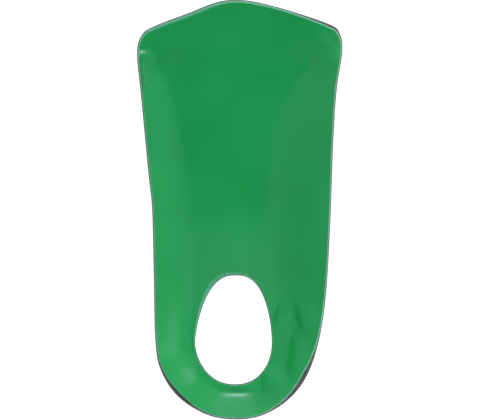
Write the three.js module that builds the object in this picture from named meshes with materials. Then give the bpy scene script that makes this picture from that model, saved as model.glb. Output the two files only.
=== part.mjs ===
// Heel stabilizer: a three-quarter-length support that lies in the shoe under a left foot.
// A green vinyl cover is bonded over a thin dark moulded shell. Both are cupped round the heel, raised
// under the inner arch and pierced by one egg-shaped opening below the heel bone.
// Millimetres. +Z is up (the foot's side), +Y points to the toes and +X to the inner side of the foot.
import * as THREE from "three";

// Thicknesses, across the sheet
const SHELL_THICKNESS = 2.2;
const COVER_THICKNESS = 1.2;
const BOND_GAP = 0.3;

// The plate's middle line stands off the ground under the arch, highest at one place
const ARCH_LIFT = 4;
const ARCH_BACK_Y = -44;
const ARCH_TOP_Y = 0;
const ARCH_FRONT_Y = 66;

// How many steps the mesh takes between two rows of the rim, and from the opening out to the rim
const STEPS_PER_ROW = 4;
const STEPS_OUT = 12;

// The rim, once round from the back of the heel by the inner side. x, y: the outer edge of the underside.
// rise: how high the wall stands there. reach: how far in from the rim the wall begins.
// cut: how far the shell's edge leans in over its thickness. bevel: the same for the cover's edge.
const RIM = [
  { at: "heel back", x: -1.7, y: -83.55, rise: 7.5, reach: 12.6, cut: 0.6, bevel: 0.6 },
  { at: "heel back, inner", x: 8.8, y: -82, rise: 6.8, reach: 13, cut: 0.8, bevel: 0.6 },
  { at: "heel corner, inner", x: 18.8, y: -76.2, rise: 6, reach: 14.5, cut: 1.5, bevel: 0.7 },
  { at: "heel turn, inner", x: 26.3, y: -67, rise: 5.6, reach: 16, cut: 1.7, bevel: 0.7 },
  { at: "heel side, inner", x: 31.3, y: -53.1, rise: 5.5, reach: 17.5, cut: 0.9, bevel: 0.6 },
  { at: "heel front, inner", x: 34.3, y: -33.2, rise: 7.2, reach: 24, cut: 0.5, bevel: 0.3 },
  { at: "arch, inner", x: 35.9, y: -3.4, rise: 9.5, reach: 30, cut: 0.5, bevel: 0.3 },
  { at: "arch front, inner", x: 37, y: 25.6, rise: 8.3, reach: 30, cut: 0.5, bevel: 0.3 },
  { at: "ball, inner", x: 38.5, y: 47, rise: 5, reach: 21, cut: 0.5, bevel: 0.3 },
  { at: "corner side, inner", x: 40.9, y: 62.8, rise: 0.8, reach: 9, cut: 0.5, bevel: 0.3 },
  { at: "corner, inner", x: 39.9, y: 70, rise: 0.4, reach: 6, cut: 0.8, bevel: 0.5 },
  { at: "corner front, inner", x: 36, y: 73.6, rise: 0.2, reach: 6, cut: 1.1, bevel: 0.7 },
  { at: "front slope, inner", x: 20, y: 79.1, rise: 0, reach: 6, cut: 0.6, bevel: 0.7 },
  { at: "peak side, inner", x: 7.4, y: 82.4, rise: 0, reach: 6, cut: 0.6, bevel: 0.8 },
  { at: "front peak", x: -1.6, y: 83.5, rise: 0, reach: 6, cut: 0.6, bevel: 0.9 },
  { at: "peak side, outer", x: -9.6, y: 82.4, rise: 0, reach: 6, cut: 0.6, bevel: 1.1 },
  { at: "front slope, outer", x: -20.5, y: 78.2, rise: 0, reach: 6, cut: 0.6, bevel: 1.2 },
  { at: "corner front, outer", x: -34.2, y: 72.9, rise: 0.1, reach: 6, cut: 0.6, bevel: 1.1 },
  { at: "corner, outer", x: -39.2, y: 69.3, rise: 0.2, reach: 6, cut: 0.6, bevel: 0.8 },
  { at: "corner side, outer", x: -41, y: 61.8, rise: 0.8, reach: 8, cut: 0.5, bevel: 0.5 },
  { at: "ball, outer", x: -39.2, y: 43.8, rise: 3.2, reach: 15, cut: 0.5, bevel: 0.3 },
  { at: "arch, outer", x: -36.4, y: 15.2, rise: 4.2, reach: 18.5, cut: 0.5, bevel: 0.3 },
  { at: "arch back, outer", x: -34.8, y: -0.2, rise: 4.5, reach: 19, cut: 0.5, bevel: 0.3 },
  { at: "heel front, outer", x: -34.2, y: -26.2, rise: 5, reach: 18.5, cut: 0.5, bevel: 0.3 },
  { at: "heel side, outer", x: -33.6, y: -52.2, rise: 5.8, reach: 15.8, cut: 0.7, bevel: 0.3 },
  { at: "heel turn, outer", x: -31.2, y: -64.5, rise: 6, reach: 15, cut: 1.4, bevel: 0.3 },
  { at: "heel corner, outer", x: -24.3, y: -74.7, rise: 6.4, reach: 14, cut: 1.5, bevel: 0.3 },
  { at: "heel back, outer", x: -13.1, y: -81.7, rise: 6.8, reach: 13, cut: 0.8, bevel: 0.6 },
];

// A wall's section, along the sides and at the back of the heel, with a gradual change from where the cup
// begins. turn: the share of its reach that its foot takes to bend up, small for a tight bend.
// flare: the share of its slope that it loses again toward the rim.
const SIDE_WALL = { turn: 0.5, flare: 0.45 };
const BACK_WALL = { turn: 0.3, flare: 0 };
const CUP_BEGINS_Y = -40;

// The opening, an egg in two halves that share their width at its widest place.
// length: of that half. side and tip: how full its sides and its end are.
const OPENING_X = -2.55;
const OPENING_Y = -53.1;
const OPENING_HALF_WIDTH = 15.25;
const OPENING_TOE = { length: 26.55, side: 1.6, tip: 0.39 };
const OPENING_HEEL = { length: 16.8, side: 1.9, tip: 0.45 };
const OPENING_LEAN = 0.037; // to the inner side, for each millimetre away from the widest place
// The cover is cut back round the opening, and its edge is cut at a slant, the widest in one direction
const LIP_SET_BACK = 0.3;
const LIP_NARROW = 0.2;
const LIP_WIDE = 1.7;
const LIP_WIDE_TURN = THREE.MathUtils.degToRad(118);

// Puckers where the cover gathers round the heel: ridges from one point to another, faded out at both ends.
// inner, outer: how wide the two flanks are, toward the inner and the outer side of the foot, or toward the
// toes and the heel where a ridge runs across. The narrower flank ends in a crease, the wider one softly.
const PUCKERS = [
  { at: "inner, by the rim", x0: 21.9, y0: -33.5, x1: 27.5, y1: -51.1, inner: 7, outer: 2.6, height: 0.8 },
  { at: "inner, by the opening", x0: 18.7, y0: -34.7, x1: 13.5, y1: -52.7, inner: 6, outer: 2.6, height: 1 },
  { at: "inner corner", x0: 24.3, y0: -47.5, x1: 20.3, y1: -69, inner: 6, outer: 3, height: 1.1 },
  { at: "back, inner", x0: 11.3, y0: -59, x1: 12.3, y1: -76, inner: 8, outer: 3.4, height: 1.1 },
  { at: "outer corner", x0: -23.5, y0: -54, x1: -22.5, y1: -73, inner: 6, outer: 10, height: 1.2 },
  { at: "outer side", x0: -28.1, y0: -26.7, x1: -29.3, y1: -57.5, inner: 7, outer: 2.6, height: 0.4 },
  { at: "behind the opening", x0: -11, y0: -70.4, x1: 12, y1: -70.4, inner: 3, outer: 2.4, height: 0.8 },
];

const GREEN_VINYL = new THREE.MeshStandardMaterial({ color: 0x1c8f4c, roughness: 0.35, metalness: 0 });
const DARK_SHELL = new THREE.MeshStandardMaterial({ color: 0x4c4c44, roughness: 0.7, metalness: 0 });

// The value at a share of the way from b to c, on a smooth curve through a, b, c and d
function smoothBetween(a, b, c, d, share) {
  const bend = 2 * a - 5 * b + 4 * c - d + share * (3 * b - 3 * c + d - a);
  return b + 0.5 * share * (c - a + share * bend);
}

// One column of the rim at a place counted in rows
function rimColumn(column, place) {
  const count = RIM.length;
  const row = Math.floor(place);
  const [a, b, c, d] = [-1, 0, 1, 2].map((step) => RIM[(row + step + count) % count][column]);
  return smoothBetween(a, b, c, d, place - row);
}

// Everything that is known of the rim at a place, with the direction into the plate
function rimAt(place) {
  const point = new THREE.Vector2(rimColumn("x", place), rimColumn("y", place));
  const ahead = place + 0.01;
  const along = new THREE.Vector2(rimColumn("x", ahead), rimColumn("y", ahead)).sub(point).normalize();
  const cupped = THREE.MathUtils.clamp((point.y - CUP_BEGINS_Y) / (RIM[0].y - CUP_BEGINS_Y), 0, 1) ** 2;
  return {
    point,
    inward: new THREE.Vector2(-along.y, along.x),
    rise: Math.max(0, rimColumn("rise", place)),
    reach: rimColumn("reach", place),
    turn: THREE.MathUtils.lerp(SIDE_WALL.turn, BACK_WALL.turn, cupped),
    flare: THREE.MathUtils.lerp(SIDE_WALL.flare, BACK_WALL.flare, cupped),
    cut: rimColumn("cut", place),
    bevel: rimColumn("bevel", place),
  };
}

const STEPS_ROUND = RIM.length * STEPS_PER_ROW;
const rim = Array.from({ length: STEPS_ROUND }, (_, step) => rimAt(step / STEPS_PER_ROW));

// How high a wall has come at a share of the way from its foot to the rim, in units of its own
function wallLift(share, turn, flare) {
  const risen = share - turn * Math.atan(share / turn);
  return (1 + flare * turn ** 2) * risen - (flare * share ** 3) / 3;
}

// The height of the wall over a point, taken from the nearest place on the rim
function wallHeight(x, y) {
  const point = new THREE.Vector2(x, y);
  let nearest = { distance: Infinity };
  rim.forEach((from, step) => {
    const to = rim[(step + 1) % STEPS_ROUND];
    const along = to.point.clone().sub(from.point);
    const share = point.clone().sub(from.point).dot(along) / along.lengthSq();
    const kept = THREE.MathUtils.clamp(share, 0, 1);
    const distance = from.point.clone().addScaledVector(along, kept).distanceTo(point);
    if (distance < nearest.distance) nearest = { distance, from, to, kept };
  });
  const [rise, reach, turn, flare] = ["rise", "reach", "turn", "flare"].map((column) =>
    THREE.MathUtils.lerp(nearest.from[column], nearest.to[column], nearest.kept),
  );
  const share = Math.max(0, 1 - nearest.distance / reach);
  return (rise * wallLift(share, turn, flare)) / wallLift(1, turn, flare);
}

// The middle line's lift over the ground
function floorHeight(y) {
  const fromTop = y - ARCH_TOP_Y;
  const foot = (fromTop < 0 ? ARCH_BACK_Y : ARCH_FRONT_Y) - ARCH_TOP_Y;
  return 0.5 * ARCH_LIFT * (1 + Math.cos(Math.PI * Math.min(1, fromTop / foot)));
}

// The shell's underside over a point of the ground plan
function undersideHeight(x, y) {
  return floorHeight(y) + wallHeight(x, y);
}

// How much taller than its thickness a sheet stands where it slopes
function slopeFactor(x, y) {
  const step = 0.4;
  const slopeX = (undersideHeight(x + step, y) - undersideHeight(x - step, y)) / (2 * step);
  const slopeY = (undersideHeight(x, y + step) - undersideHeight(x, y - step)) / (2 * step);
  return Math.hypot(1, slopeX, slopeY);
}

// The height that the puckers add to the cover
function puckerHeight(x, y) {
  return PUCKERS.reduce((sum, { x0, y0, x1, y1, inner, outer, height }) => {
    const start = new THREE.Vector2(x0, y0);
    const along = new THREE.Vector2(x1, y1).sub(start);
    const point = new THREE.Vector2(x, y).sub(start);
    const share = THREE.MathUtils.clamp(point.dot(along) / along.lengthSq(), 0, 1);
    const aside = along.cross(point) / along.length();
    const width = aside > 0 ? inner : outer;
    const down = Math.min(1, Math.abs(aside) / width);
    const softness = width > Math.min(inner, outer) ? 2 : 1;
    return sum + height * Math.sin(Math.PI * share) ** 2 * (1 - down ** 2) ** softness;
  }, 0);
}

// The half of the opening that lies on one side of its widest place
function openingHalf(forward) {
  return forward > 0 ? OPENING_TOE : OPENING_HEEL;
}

// Where round the opening a point of the plan belongs
function openingTurn({ x, y }) {
  const forward = y - OPENING_Y;
  return Math.atan2(forward / openingHalf(forward).length, (x - OPENING_X) / OPENING_HALF_WIDTH);
}

// A point of the opening's edge, set back into the plate
function openingPoint(turn, setBack) {
  const { length, side, tip } = openingHalf(Math.sin(turn));
  const forward = (length + setBack) * Math.sin(turn);
  const width = (1 - Math.abs(Math.sin(turn)) ** side) ** tip;
  const across = Math.sign(Math.cos(turn)) * (OPENING_HALF_WIDTH + setBack) * width;
  return new THREE.Vector2(OPENING_X + across + OPENING_LEAN * Math.abs(forward), OPENING_Y + forward);
}

// How far the cover's edge leans back at the opening
function lipWidth(turn) {
  const facing = Math.max(0, Math.cos(turn - LIP_WIDE_TURN)) ** 4;
  return LIP_NARROW + (LIP_WIDE - LIP_NARROW) * facing;
}

// One face of a sheet: rows of points from the opening out to the rim, at every step round.
// above: how far over the underside, across the sheet. leanIn and setBack: how far the face's two edges
// stand in from those of the underside.
function faceOf({ above, leanIn, setBack, puckered }) {
  return rim.map((place) => {
    const turn = openingTurn(place.point);
    const start = openingPoint(turn, setBack(turn));
    const end = place.point.clone().addScaledVector(place.inward, leanIn(place));
    return Array.from({ length: STEPS_OUT + 1 }, (_, step) => {
      const { x, y } = start.clone().lerp(end, step / STEPS_OUT);
      const lifted = above > 0 ? above * slopeFactor(x, y) : 0;
      const pucker = puckered ? puckerHeight(x, y) : 0;
      return new THREE.Vector3(x, y, undersideHeight(x, y) + lifted + pucker);
    });
  });
}

// A closed ring-shaped solid between a lower and an upper face
function sheetGeometry(lower, upper) {
  const across = STEPS_OUT + 1;
  const above = STEPS_ROUND * across;
  const indices = [];
  const quad = (a, b, c, d) => indices.push(a, b, c, a, c, d);
  for (let round = 0; round < STEPS_ROUND; round += 1) {
    const here = round * across;
    const next = ((round + 1) % STEPS_ROUND) * across;
    for (let out = 0; out < STEPS_OUT; out += 1) {
      quad(here + out, next + out, next + out + 1, here + out + 1);
      quad(above + here + out, above + here + out + 1, above + next + out + 1, above + next + out);
    }
    quad(here + STEPS_OUT, next + STEPS_OUT, above + next + STEPS_OUT, above + here + STEPS_OUT);
    quad(next, here, above + here, above + next);
  }
  const geometry = new THREE.BufferGeometry().setFromPoints([...lower.flat(), ...upper.flat()]);
  geometry.setIndex(indices);
  geometry.computeVertexNormals();
  return geometry;
}

function namedMesh(name, geometry, material) {
  const mesh = new THREE.Mesh(geometry, material);
  mesh.name = name;
  return mesh;
}

function mouldedShell() {
  const underside = faceOf({ above: 0, leanIn: () => 0, setBack: () => 0, puckered: false });
  const topSide = faceOf({
    above: SHELL_THICKNESS,
    leanIn: (place) => place.cut,
    setBack: () => 0,
    puckered: false,
  });
  return namedMesh("moulded_shell", sheetGeometry(underside, topSide), DARK_SHELL);
}

function vinylCover() {
  const bondedSide = faceOf({
    above: SHELL_THICKNESS + BOND_GAP,
    leanIn: (place) => place.cut,
    setBack: () => LIP_SET_BACK,
    puckered: true,
  });
  const footSide = faceOf({
    above: SHELL_THICKNESS + BOND_GAP + COVER_THICKNESS,
    leanIn: (place) => place.cut + place.bevel,
    setBack: (turn) => LIP_SET_BACK + lipWidth(turn),
    puckered: true,
  });
  return namedMesh("vinyl_cover", sheetGeometry(bondedSide, footSide), GREEN_VINYL);
}

const heelStabilizer = new THREE.Group();
heelStabilizer.name = "heel_stabilizer";
heelStabilizer.add(mouldedShell(), vinylCover());

export default heelStabilizer;
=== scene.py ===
"""Dresses the heel stabilizer: a green vinyl cover bonded on a thin dark moulded shell.

Both pieces are drawn again, finer than the solids that they replace and on the same rim and opening, with
rounded cut edges, a closed glue line and the small puckers of a sheet that was pulled over a cup. Sizes are
in millimetres until a mesh is made; the camera, the floor and the lights are in metres.
"""
import math

import bpy
import numpy as np
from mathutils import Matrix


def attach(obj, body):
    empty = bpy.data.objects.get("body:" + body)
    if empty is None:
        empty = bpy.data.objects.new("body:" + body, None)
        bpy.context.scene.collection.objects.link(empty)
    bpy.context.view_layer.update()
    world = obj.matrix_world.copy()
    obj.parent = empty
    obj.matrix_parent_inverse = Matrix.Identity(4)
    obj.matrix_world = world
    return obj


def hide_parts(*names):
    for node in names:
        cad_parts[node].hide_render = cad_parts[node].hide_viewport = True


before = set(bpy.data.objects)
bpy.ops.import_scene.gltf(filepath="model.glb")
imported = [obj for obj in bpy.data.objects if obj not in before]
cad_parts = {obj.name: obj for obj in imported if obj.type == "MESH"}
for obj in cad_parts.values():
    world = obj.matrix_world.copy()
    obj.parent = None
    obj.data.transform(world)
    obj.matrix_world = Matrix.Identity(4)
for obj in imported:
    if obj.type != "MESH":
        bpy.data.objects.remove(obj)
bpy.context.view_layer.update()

METRES = 0.001  # in a millimetre

# Thicknesses, across the sheet
SHELL_THICKNESS = 2.2
GLUE_LINE = 0.05
COVER_TOP = 3.7  # the foot side of the cover over the shell's underside

# The plate's middle line stands off the ground under the arch, highest at one place
ARCH_LIFT = 4
ARCH_BACK_Y = -44
ARCH_TOP_Y = 0
ARCH_FRONT_Y = 66

# The rim, once round from the back of the heel by the inner side. x, y: the outer edge of the underside.
# rise: how high the wall stands there. reach: how far in from the rim the wall begins.
# cut: how far the shell's edge leans in over its thickness. bevel: the same for the cover's edge.
RIM_COLUMNS = ("x", "y", "rise", "reach", "cut", "bevel")
RIM = [
    (-1.7, -83.55, 7.5, 12.6, 0.6, 0.6),  # heel back
    (8.8, -82, 6.8, 13, 0.6, 0.6),  # heel back, inner
    (18.8, -76.2, 6, 14.5, 1.1, 0.7),  # heel corner, inner
    (26.3, -67, 5.6, 16, 1.7, 0.7),  # heel turn, inner
    (31.3, -53.1, 5.5, 17.5, 0.6, 0.6),  # heel side, inner
    (34.3, -33.2, 7.2, 24, 0.5, 0.3),  # heel front, inner
    (35.9, -3.4, 9.5, 30, 0.5, 0.3),  # arch, inner
    (37, 25.6, 8.3, 30, 0.5, 0.3),  # arch front, inner
    (38.5, 47, 5, 21, 0.5, 0.3),  # ball, inner
    (40.9, 62.8, 0.8, 9, 0.5, 0.3),  # corner side, inner
    (39.9, 70, 0.4, 6, 0.8, 0.5),  # corner, inner
    (36, 73.6, 0.2, 6, 1.1, 0.7),  # corner front, inner
    (20, 79.1, 0, 6, 0.6, 0.7),  # front slope, inner
    (7.4, 82.4, 0, 6, 0.6, 0.8),  # peak side, inner
    (-1.6, 83.5, 0, 6, 0.6, 0.9),  # front peak
    (-9.6, 82.4, 0, 6, 0.6, 1.1),  # peak side, outer
    (-20.5, 78.2, 0, 6, 0.6, 1.2),  # front slope, outer
    (-34.2, 72.9, 0.1, 6, 0.6, 1.1),  # corner front, outer
    (-39.2, 69.3, 0.2, 6, 0.6, 0.8),  # corner, outer
    (-41, 61.8, 0.8, 8, 0.5, 0.5),  # corner side, outer
    (-39.2, 43.8, 3.2, 15, 0.5, 0.3),  # ball, outer
    (-36.4, 15.2, 4.2, 18.5, 0.5, 0.3),  # arch, outer
    (-34.8, -0.2, 4.5, 19, 0.5, 0.3),  # arch back, outer
    (-34.2, -26.2, 5, 18.5, 0.5, 0.3),  # heel front, outer
    (-33.6, -52.2, 5.8, 15.8, 0.5, 0.3),  # heel side, outer
    (-31.2, -64.5, 6, 15, 0.9, 0.3),  # heel turn, outer
    (-24.3, -74.7, 6.4, 14, 1.5, 0.3),  # heel corner, outer
    (-13.1, -81.7, 6.8, 13, 0.6, 0.6),  # heel back, outer
]

# A wall's section, along the sides and at the back of the heel, with a gradual change from where the cup
# begins. turn: the share of its reach that its foot takes to bend up, small for a tight bend.
# flare: the share of its slope that it loses again toward the rim.
SIDE_WALL = {"turn": 0.5, "flare": 0.45}
BACK_WALL = {"turn": 0.3, "flare": 0}
CUP_BEGINS_Y = -40

# The opening, an egg in two halves that share their width at its widest place.
# length: of that half. side and tip: how full its sides and its end are.
OPENING_X = -2.55
OPENING_Y = -53.1
OPENING_HALF_WIDTH = 15.25
OPENING_TOE = {"length": 26.55, "side": 1.6, "tip": 0.39}
OPENING_HEEL = {"length": 16.8, "side": 1.9, "tip": 0.45}
OPENING_LEAN = 0.037  # to the inner side, for each millimetre away from the widest place

# The shell's edge leans back a little at the opening. The cover is cut back further, so the shell shows, and
# its own edge is cut at a slant, the widest in one direction.
SHELL_LIP = 0.1
SHELL_SHOWS = 0.3
LIP_NARROW = 0.12
LIP_WIDE = 1.7
LIP_WIDE_TURN = math.radians(118)
LIP_FOCUS = 4  # how soon the slant narrows to both sides of that direction

# Puckers where the cover gathers: ridges from one point to another, faded out at both ends.
# inner, outer: how wide the two flanks are, toward the inner and the outer side of the foot, or toward the
# toes and the heel where a ridge runs across. The narrower flank ends in a crease, the wider one softly.
PUCKER_COLUMNS = ("x0", "y0", "x1", "y1", "inner", "outer", "height")
PUCKERS = [
    (21.9, -33.5, 27.5, -51.1, 7, 2.6, 0.8),  # inner side, by the rim
    (18.7, -34.7, 13.5, -52.7, 6, 2.6, 1.2),  # inner side, by the opening
    (24.3, -47.5, 20.3, -69, 6, 3, 1.3),  # inner corner
    (11.3, -59, 12.3, -76, 8, 3.4, 1.3),  # back, inner
    (-23.5, -54, -22.5, -73, 6, 10, 1.2),  # outer corner
    (-28.1, -26.7, -29.3, -57.5, 7, 2.6, 0.4),  # outer side
    (-11, -70.4, 12, -70.4, 3, 2.4, 0.8),  # behind the opening
    (-46, 57, -16, 73, 8, 14, 0.6),  # front edge, outer
    (12, 74, 46, 60, 8, 14, 0.6),  # front edge, inner
    (35.6, 72, 35.6, 51, 5.4, 9, 1.3),  # front corner, inner
    (-46, 60.7, -32, 60.7, 2.4, 5, 0.7),  # front corner, outer
    (-41.5, 56.2, -36.5, 56.2, 1.2, 2, 0.5),  # first gather behind that corner
    (-41.2, 53.4, -36.2, 53.4, 1.2, 2, 0.5),  # second gather
    (-40.9, 50.2, -35.9, 50.2, 1.2, 2, 0.5),  # third gather
]

# How finely the meshes are drawn
STEPS_PER_ROW = 15
RIM_SAMPLES_PER_ROW = 12
ROWS_AHEAD = 0.01  # to find the rim's direction
POINTS_AT_A_TIME = 8192
COVER_TOP_STEPS = 84
COVER_UNDER_STEPS = 16
SHELL_TOP_STEPS = 30
SHELL_UNDER_STEPS = 56

# The cut edges: a small round at the lower corner, then one curve up and in to the top.
# straightness: 1 for a quarter round, 2 for a straight slant.
CORNER_RADIUS = 0.15
CORNER_STEPS = 3
EDGE_STEPS = 7
COVER_STRAIGHTNESS = 1.3
SHELL_STRAIGHTNESS = 1.7

# The patterns of the materials: how large their features are, and how deep the fine ones. The fine ones are
# drawn coarser than the real grain, so that they show at all.
FILM_UNEVENNESS = 24
VINYL_GRAIN = 0.9
KNIFE_MARKS = 0.6
FILLER_SPECKLE = 0.7
GRAIN_DEPTH = 0.1
PATTERN_TURN = (0.6, 0.45, 0.3)  # in radians

# The photograph's frame: its width in pixels, and what one of them covers on the ground
IMAGE_WIDTH_PX = 480
PIXEL_MM = 0.399
CAMERA_PLACE = (0.00008, -0.00042, 1.5)
SENSOR_MM = 36

# The sky has a dark patch overhead, a little toward the toes, and is bright all round it.
# Its stops: the cosine of the angle from the patch's middle, and how bright the sky is there.
SKY_POLE = (0, 0.17, 0.985)
SKY_STOPS = ((0.64, 0.55), (0.94, 0.53), (0.98, 0.3), (0.992, 0))
SKY_TINT = (0.95, 1, 1.35)
SKY_LOW = (0.43, 0.45, 0.54, 1)
SKY_DIM_SIDE = {"From Min": -1.0, "From Max": -0.6, "To Min": 0.2}  # by the X of a direction

DAYLIGHT = (0.92, 1.0, 1.25)  # the colour of all lamps
FLOOR_HALF_SIDE = 3.0


def spline(column, place):
    """A column of a closed table at places counted in rows, on a smooth curve through its values."""
    row = np.floor(place).astype(int)
    share = place - row
    a, b, c, d = (column[(row + step) % len(column)] for step in (-1, 0, 1, 2))
    bend = 2 * a - 5 * b + 4 * c - d + share * (3 * b - 3 * c + d - a)
    return b + 0.5 * share * (c - a + share * bend)


def rim_at(place):
    """Everything that is known of the rim at some places, with the direction into the plate."""
    columns = dict(zip(RIM_COLUMNS, np.array(RIM, dtype=float).T))
    rim = {name: spline(column, place) for name, column in columns.items()}
    rim["point"] = np.stack([rim["x"], rim["y"]], axis=-1)
    ahead = place + ROWS_AHEAD
    along = np.stack([spline(columns["x"], ahead), spline(columns["y"], ahead)], axis=-1) - rim["point"]
    along /= np.linalg.norm(along, axis=-1, keepdims=True)
    rim["inward"] = np.stack([-along[..., 1], along[..., 0]], axis=-1)
    rim["rise"] = np.maximum(0, rim["rise"])
    cupped = np.clip((rim["y"] - CUP_BEGINS_Y) / (columns["y"].min() - CUP_BEGINS_Y), 0, 1) ** 2
    for name, value in SIDE_WALL.items():
        rim[name] = value + (BACK_WALL[name] - value) * cupped
    return rim


def nearest_place(plan):
    """The place on the rim that is nearest to each point of the plan."""
    samples = rim_at(np.arange(0, len(RIM), 1 / RIM_SAMPLES_PER_ROW))["point"]
    places = np.empty(len(plan))
    for start in range(0, len(plan), POINTS_AT_A_TIME):
        part = plan[start:start + POINTS_AT_A_TIME]
        squared = ((part[:, None, :] - samples[None, :, :]) ** 2).sum(axis=-1)
        best = squared.argmin(axis=1)
        rows = np.arange(len(part))
        before = squared[rows, (best - 1) % len(samples)]
        here = squared[rows, best]
        after = squared[rows, (best + 1) % len(samples)]
        step = 0.5 * (before - after) / (before - 2 * here + after)
        places[start:start + POINTS_AT_A_TIME] = (best + np.clip(step, -0.5, 0.5)) / RIM_SAMPLES_PER_ROW
    return places


def wall_lift(share, rim):
    """How high a wall has come at a share of the way from its foot to the rim, in units of its own."""
    risen = share - rim["turn"] * np.arctan(share / rim["turn"])
    return (1 + rim["flare"] * rim["turn"] ** 2) * risen - rim["flare"] * share ** 3 / 3


def underside(plan):
    """The shell's underside over points of the plan, and how much taller a sheet stands on its slope."""
    rim = rim_at(nearest_place(plan))
    distance = np.linalg.norm(plan - rim["point"], axis=-1)
    share = np.maximum(0, 1 - distance / rim["reach"])
    scale = rim["rise"] / wall_lift(1, rim)
    wall = scale * wall_lift(share, rim)
    wall_slope = share ** 2 * (1 - rim["flare"] * share ** 2) / (share ** 2 + rim["turn"] ** 2)
    wall_slope *= scale / rim["reach"]
    from_top = plan[:, 1] - ARCH_TOP_Y
    foot = np.where(from_top < 0, ARCH_BACK_Y, ARCH_FRONT_Y) - ARCH_TOP_Y
    turn = math.pi * np.minimum(1, from_top / foot)
    floor = 0.5 * ARCH_LIFT * (1 + np.cos(turn))
    floor_slope = -0.5 * ARCH_LIFT * math.pi / foot * np.sin(turn)
    slope = -rim["inward"] * wall_slope[:, None]
    slope[:, 1] += floor_slope
    return floor + wall, np.sqrt(1 + (slope ** 2).sum(axis=-1))


def pucker_height(plan):
    """The height that the puckers add to the cover's foot side."""
    height = np.zeros(len(plan))
    for row in PUCKERS:
        pucker = dict(zip(PUCKER_COLUMNS, row))
        start = np.array((pucker["x0"], pucker["y0"]))
        along = np.array((pucker["x1"], pucker["y1"])) - start
        length = np.hypot(*along)
        across = np.array((-along[1], along[0])) / length
        place = np.clip((plan - start) @ along / length ** 2, 0, 1)
        aside = (plan - start) @ across
        width = np.where(aside > 0, pucker["inner"], pucker["outer"])
        down = np.minimum(1, np.abs(aside) / width)
        softness = np.where(width > min(pucker["inner"], pucker["outer"]), 2, 1)
        height += pucker["height"] * np.sin(math.pi * place) ** 2 * (1 - down ** 2) ** softness
    return height


def opening_half(forward, size):
    """A size of the half of the opening that lies on one side of its widest place."""
    return np.where(forward > 0, OPENING_TOE[size], OPENING_HEEL[size])


def opening_turn(plan):
    """Where round the opening points of the plan belong."""
    forward = plan[:, 1] - OPENING_Y
    across = plan[:, 0] - OPENING_X
    return np.arctan2(forward / opening_half(forward, "length"), across / OPENING_HALF_WIDTH)


def opening_point(turn, set_back):
    """Points of the opening's edge, set back into the plate."""
    rise = np.sin(turn)
    forward = (opening_half(rise, "length") + set_back) * rise
    width = (1 - np.abs(rise) ** opening_half(rise, "side")) ** opening_half(rise, "tip")
    across = np.sign(np.cos(turn)) * (OPENING_HALF_WIDTH + set_back) * width + OPENING_LEAN * np.abs(forward)
    return np.stack([OPENING_X + across, OPENING_Y + forward], axis=-1)


def lip_width(turn):
    """How far the cover's edge leans back at the opening."""
    facing = np.maximum(0, np.cos(turn - LIP_WIDE_TURN)) ** LIP_FOCUS
    return LIP_NARROW + (LIP_WIDE - LIP_NARROW) * facing


def round_the_plate():
    """The rim at every step round the plate, and where round the opening each step belongs."""
    rim = rim_at(np.arange(0, len(RIM), 1 / STEPS_PER_ROW))
    return rim, opening_turn(rim["point"])


def sheet_section(low, high, top_steps, under_steps, straightness):
    """Stations once round a sheet's section: up the opening's edge, over the top, down the rim's, and under.

    share: 0 at the opening, 1 at the rim. lean: 0 at an edge's foot, 1 at its top. inset: how far a rounded
    lower corner draws in. above: the height over the shell's underside. edge: whether it is a cut edge.
    """
    corner = np.linspace(0, math.pi / 2, CORNER_STEPS, endpoint=False)
    corner_inset = CORNER_RADIUS * (1 - np.sin(corner))
    corner_above = low + CORNER_RADIUS * (1 - np.cos(corner))
    turn = np.linspace(0, math.pi / 2, EDGE_STEPS)
    foot = low + CORNER_RADIUS
    edge_lean = np.concatenate([np.zeros(CORNER_STEPS), 1 - np.cos(turn) ** straightness])
    edge_inset = np.concatenate([corner_inset, np.zeros(EDGE_STEPS)])
    edge_above = np.concatenate([corner_above, foot + (high - foot) * np.sin(turn) ** straightness])
    edge = np.ones(CORNER_STEPS + EDGE_STEPS)
    top_share = 0.5 - 0.5 * np.cos(np.linspace(0, math.pi, top_steps)[1:-1])
    under_share = np.linspace(1, 0, under_steps)[1:-1]
    top = np.ones(len(top_share))
    under = np.zeros(len(under_share))
    return {
        "share": np.concatenate([0 * edge, top_share, edge, under_share]),
        "lean": np.concatenate([edge_lean, top, edge_lean[::-1], under]),
        "inset": np.concatenate([edge_inset, 0 * top, edge_inset[::-1], under + CORNER_RADIUS]),
        "above": np.concatenate([edge_above, high * top, edge_above[::-1], under + low]),
        "edge": np.concatenate([edge, 0 * top, edge, under]) > 0.5,
    }


def stand_in(section, foot, width):
    """How far in from the underside's edge each station stands, at every step round the plate.

    foot: where the edge begins. width: how far it leans in from there to its top. Both are one size, or one
    for each step.
    """
    return np.reshape(foot, (-1, 1)) + np.reshape(width, (-1, 1)) * section["lean"] + section["inset"]


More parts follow.
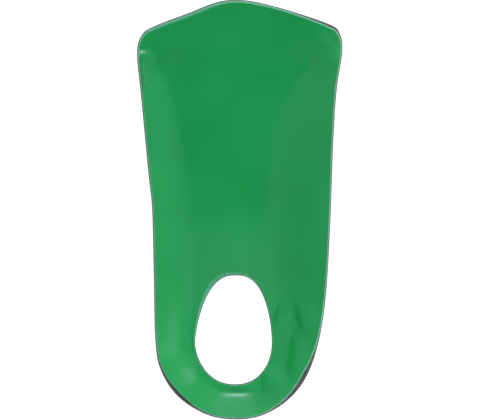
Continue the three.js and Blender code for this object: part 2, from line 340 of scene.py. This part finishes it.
def sheet_mesh(name, section, from_rim, from_opening, pucker_share):
    """A closed ring-shaped sheet: its section carried once round the plate."""
    rim, turn = round_the_plate()
    outer = rim["point"][:, None, :] + rim["inward"][:, None, :] * from_rim[..., None]
    inner = opening_point(turn[:, None], from_opening)
    plan = (inner + (outer - inner) * section["share"][:, None]).reshape(-1, 2)
    rounds, stations = len(turn), len(section["share"])
    ground, taller = underside(plan)
    above = np.tile(section["above"], rounds)
    height = ground + above * taller + np.tile(pucker_share, rounds) * pucker_height(plan)
    points = np.column_stack([plan, height]) * METRES

    here = np.arange(rounds)[:, None] * stations
    ahead = (np.arange(rounds)[:, None] + 1) % rounds * stations
    station = np.arange(stations)
    following = (station + 1) % stations
    faces = np.stack([here + station, here + following, ahead + following, ahead + station], axis=-1)
    mesh = bpy.data.meshes.new(name)
    mesh.from_pydata(points, [], faces.reshape(-1, 4))
    cut = section["edge"] & section["edge"][following]
    mesh.polygons.foreach_set("material_index", np.tile(cut, rounds).astype(np.int32))
    mesh.shade_smooth()
    piece = bpy.data.objects.new(name, mesh)
    bpy.context.scene.collection.objects.link(piece)
    return piece


def linear(hex_colour):
    """An sRGB hex colour as linear red, green, blue and alpha."""
    parts = [int(hex_colour[i:i + 2], 16) / 255 for i in (1, 3, 5)]
    return (*[p / 12.92 if p <= 0.04045 else ((p + 0.055) / 1.055) ** 2.4 for p in parts], 1)


def add_node(tree, kind, inputs=None, **settings):
    """Adds a node with its settings; an input takes a value or another node's output."""
    node = tree.nodes.new(kind)
    for name, value in settings.items():
        setattr(node, name, value)
    for name, value in (inputs or {}).items():
        if isinstance(value, bpy.types.NodeSocket):
            tree.links.new(value, node.inputs[name])
        else:
            node.inputs[name].default_value = value
    return node


def new_material(name):
    """A material with its node tree and its shader."""
    material = bpy.data.materials.new(name)
    material.use_nodes = True
    tree = material.node_tree
    return material, tree, tree.nodes["Principled BSDF"]


def slanted_place(tree):
    """The object's own coordinates, turned so that no pattern lines up with the flat of the plate."""
    place = add_node(tree, "ShaderNodeTexCoord").outputs["Object"]
    turned = add_node(tree, "ShaderNodeMapping", {"Vector": place, "Rotation": PATTERN_TURN})
    return turned.outputs["Vector"]


def per_metre(size):
    """The scale of a pattern whose features are this large."""
    return 1 / (size * METRES)


def calendered_vinyl():
    """Soft vinyl sheet, rolled smooth: a deep green with a half gloss and a faint unevenness of the film."""
    material, tree, shader = new_material("calendered_vinyl")
    place = slanted_place(tree)
    shade = add_node(
        tree, "ShaderNodeTexNoise", {"Vector": place, "Scale": per_metre(FILM_UNEVENNESS), "Detail": 1.0}
    )
    ramp = add_node(tree, "ShaderNodeValToRGB", {"Fac": shade.outputs["Fac"]})
    for end, position, colour in zip(ramp.color_ramp.elements, (0.3, 0.7), ("#099d43", "#0aa548")):
        end.position = position
        end.color = linear(colour)
    rubbed = add_node(
        tree, "ShaderNodeMapRange", {"Value": shade.outputs["Fac"], "To Min": 0.26, "To Max": 0.32}
    )
    grain = add_node(
        tree, "ShaderNodeTexNoise", {"Vector": place, "Scale": per_metre(VINYL_GRAIN), "Detail": 2.0}
    )
    bump = add_node(
        tree,
        "ShaderNodeBump",
        {"Height": grain.outputs["Fac"], "Strength": 0.12, "Distance": GRAIN_DEPTH * METRES},
    )
    tree.links.new(ramp.outputs["Color"], shader.inputs["Base Color"])
    tree.links.new(rubbed.outputs["Result"], shader.inputs["Roughness"])
    tree.links.new(bump.outputs["Normal"], shader.inputs["Normal"])
    shader.inputs["IOR"].default_value = 1.53
    return material


def knife_cut_vinyl_painted_highlight():
    """The same sheet where a knife went through it: matt, with the marks of the blade, and painted paler
    than the face as a painted highlight along the cut bevels.
    """
    material, tree, shader = new_material("knife_cut_vinyl_painted_highlight")
    place = slanted_place(tree)
    marks = add_node(
        tree, "ShaderNodeTexNoise", {"Vector": place, "Scale": per_metre(KNIFE_MARKS), "Detail": 2.0}
    )
    ramp = add_node(tree, "ShaderNodeValToRGB", {"Fac": marks.outputs["Fac"]})
    # The cut edge's paler greens are a painted highlight: the light that the cut bevels catch is painted
    # into their colour. The spread between the two greens follows the knife marks.
    for end, position, colour in zip(ramp.color_ramp.elements, (0.3, 0.7), ("#42a464", "#58b478")):
        end.position = position
        end.color = linear(colour)
    bump = add_node(
        tree,
        "ShaderNodeBump",
        {"Height": marks.outputs["Fac"], "Strength": 0.3, "Distance": GRAIN_DEPTH * METRES},
    )
    tree.links.new(ramp.outputs["Color"], shader.inputs["Base Color"])
    tree.links.new(bump.outputs["Normal"], shader.inputs["Normal"])
    shader.inputs["Roughness"].default_value = 0.55
    return material


def filled_composite(name, dark, pale, roughness):
    """Filled plastic, pressed in a mould or ground at its edge: grey-brown, matt, speckled by the filler."""
    material, tree, shader = new_material(name)
    place = slanted_place(tree)
    speckle = add_node(
        tree, "ShaderNodeTexNoise", {"Vector": place, "Scale": per_metre(FILLER_SPECKLE), "Detail": 4.0}
    )
    ramp = add_node(tree, "ShaderNodeValToRGB", {"Fac": speckle.outputs["Fac"]})
    for end, position, colour in zip(ramp.color_ramp.elements, (0.38, 0.68), (dark, pale)):
        end.position = position
        end.color = linear(colour)
    bump = add_node(
        tree,
        "ShaderNodeBump",
        {"Height": speckle.outputs["Fac"], "Strength": 0.25, "Distance": GRAIN_DEPTH * METRES},
    )
    tree.links.new(ramp.outputs["Color"], shader.inputs["Base Color"])
    tree.links.new(bump.outputs["Normal"], shader.inputs["Normal"])
    shader.inputs["Roughness"].default_value = roughness
    return material


def dress(piece, node, face, edge):
    """Puts a piece in the place of its node, with one material on its faces and one on its cut edges."""
    piece.data.materials.append(face)
    piece.data.materials.append(edge)
    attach(piece, "root")
    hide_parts(node)


def moulded_shell():
    """The stiff plate under the cover, which shows at its edges and from below."""
    rim, _ = round_the_plate()
    section = sheet_section(0, SHELL_THICKNESS, SHELL_TOP_STEPS, SHELL_UNDER_STEPS, SHELL_STRAIGHTNESS)
    piece = sheet_mesh(
        "shell",
        section,
        from_rim=stand_in(section, 0, rim["cut"]),
        from_opening=stand_in(section, 0, SHELL_LIP),
        pucker_share=0 * section["above"],
    )
    dress(
        piece,
        "moulded_shell",
        face=filled_composite("pressed_composite", "#3a382f", "#524f43", 0.6),
        edge=filled_composite("ground_composite_edge", "#3d3a2f", "#625d4c", 0.8),
    )


def vinyl_cover():
    """The soft sheet on the foot side. Its puckers lift the top and leave the bonded side on the shell."""
    rim, turn = round_the_plate()
    low = SHELL_THICKNESS + GLUE_LINE
    section = sheet_section(low, COVER_TOP, COVER_TOP_STEPS, COVER_UNDER_STEPS, COVER_STRAIGHTNESS)
    piece = sheet_mesh(
        "cover",
        section,
        from_rim=stand_in(section, rim["cut"], rim["bevel"]),
        from_opening=stand_in(section, SHELL_SHOWS, lip_width(turn)),
        pucker_share=(section["above"] - low) / (COVER_TOP - low),
    )
    dress(piece, "vinyl_cover", face=calendered_vinyl(), edge=knife_cut_vinyl_painted_highlight())


def studio_floor():
    """A wide white table, lit a little from inside so that no hard shadow shows on it."""
    half = FLOOR_HALF_SIDE
    corners = [(-half, -half, 0), (half, -half, 0), (half, half, 0), (-half, half, 0)]
    mesh = bpy.data.meshes.new("floor")
    mesh.from_pydata(corners, [], [(0, 1, 2, 3)])
    floor = bpy.data.objects.new("floor", mesh)
    bpy.context.scene.collection.objects.link(floor)
    material, _, shader = new_material("white_table")
    shader.inputs["Base Color"].default_value = linear("#f6f6f6")
    shader.inputs["Roughness"].default_value = 0.9
    shader.inputs["Specular IOR Level"].default_value = 0.0
    shader.inputs["Emission Color"].default_value = linear("#ffffff")
    shader.inputs["Emission Strength"].default_value = 0.8
    mesh.materials.append(material)


def studio_sky():
    """The room that the cover reflects: dark overhead, bright all round, dim low on the outer side."""
    world = bpy.data.worlds.new("studio")
    world.use_nodes = True
    tree = world.node_tree
    place = add_node(tree, "ShaderNodeTexCoord").outputs["Generated"]
    height = add_node(tree, "ShaderNodeVectorMath", {0: place, 1: SKY_POLE}, operation="DOT_PRODUCT")
    ramp = add_node(tree, "ShaderNodeValToRGB", {"Fac": height.outputs["Value"]})
    stops = ramp.color_ramp.elements
    for position, brightness in SKY_STOPS:
        stops.new(position).color = (*[brightness * tint for tint in SKY_TINT], 1)
    stops[0].color = SKY_LOW
    stops[len(stops) - 1].color = (0, 0, 0, 1)
    sideways = add_node(tree, "ShaderNodeSeparateXYZ", {"Vector": place}).outputs["X"]
    dimmed = add_node(
        tree, "ShaderNodeMapRange", {"Value": sideways, **SKY_DIM_SIDE}, interpolation_type="SMOOTHSTEP"
    )
    tree.links.new(ramp.outputs["Color"], tree.nodes["Background"].inputs["Color"])
    tree.links.new(dimmed.outputs["Result"], tree.nodes["Background"].inputs["Strength"])
    bpy.context.scene.world = world


def softbox(name, azimuth, elevation, distance, size, watts, glossy=True):
    """A square area light that faces the plate. azimuth: 0 is the inner side, 90 the toes."""
    light = bpy.data.lights.new(name, "AREA")
    light.color = DAYLIGHT
    light.size = size
    light.energy = watts
    lamp = bpy.data.objects.new(name, light)
    turn, tilt = math.radians(azimuth), math.radians(elevation)
    lamp.location = (
        distance * math.cos(tilt) * math.cos(turn),
        distance * math.cos(tilt) * math.sin(turn),
        distance * math.sin(tilt),
    )
    lamp.rotation_euler = (0, math.pi / 2 - tilt, turn)
    lamp.visible_camera = False
    lamp.visible_glossy = glossy
    bpy.context.scene.collection.objects.link(lamp)


def photo_camera():
    """A camera high over the plate that looks straight down, as wide as the photograph."""
    data = bpy.data.cameras.new("camera")
    data.sensor_fit = "HORIZONTAL"
    data.sensor_width = SENSOR_MM
    data.lens = SENSOR_MM * CAMERA_PLACE[2] / (IMAGE_WIDTH_PX * PIXEL_MM * METRES)
    camera = bpy.data.objects.new("camera", data)
    camera.location = CAMERA_PLACE
    bpy.context.scene.collection.objects.link(camera)
    bpy.context.scene.camera = camera


photo_camera()
moulded_shell()
vinyl_cover()
studio_floor()
studio_sky()
softbox("toe_softbox", azimuth=91, elevation=36, distance=1.4, size=0.2, watts=4.4)
softbox("toe_window", azimuth=88, elevation=13, distance=1.4, size=0.6, watts=0.5)
softbox("side_window", azimuth=8, elevation=10, distance=1.6, size=1.0, watts=10.5)
softbox("heel_lamp", azimuth=280, elevation=60, distance=0.12, size=0.05, watts=0.022, glossy=False)
bpy.context.scene.view_settings.view_transform = "Standard"
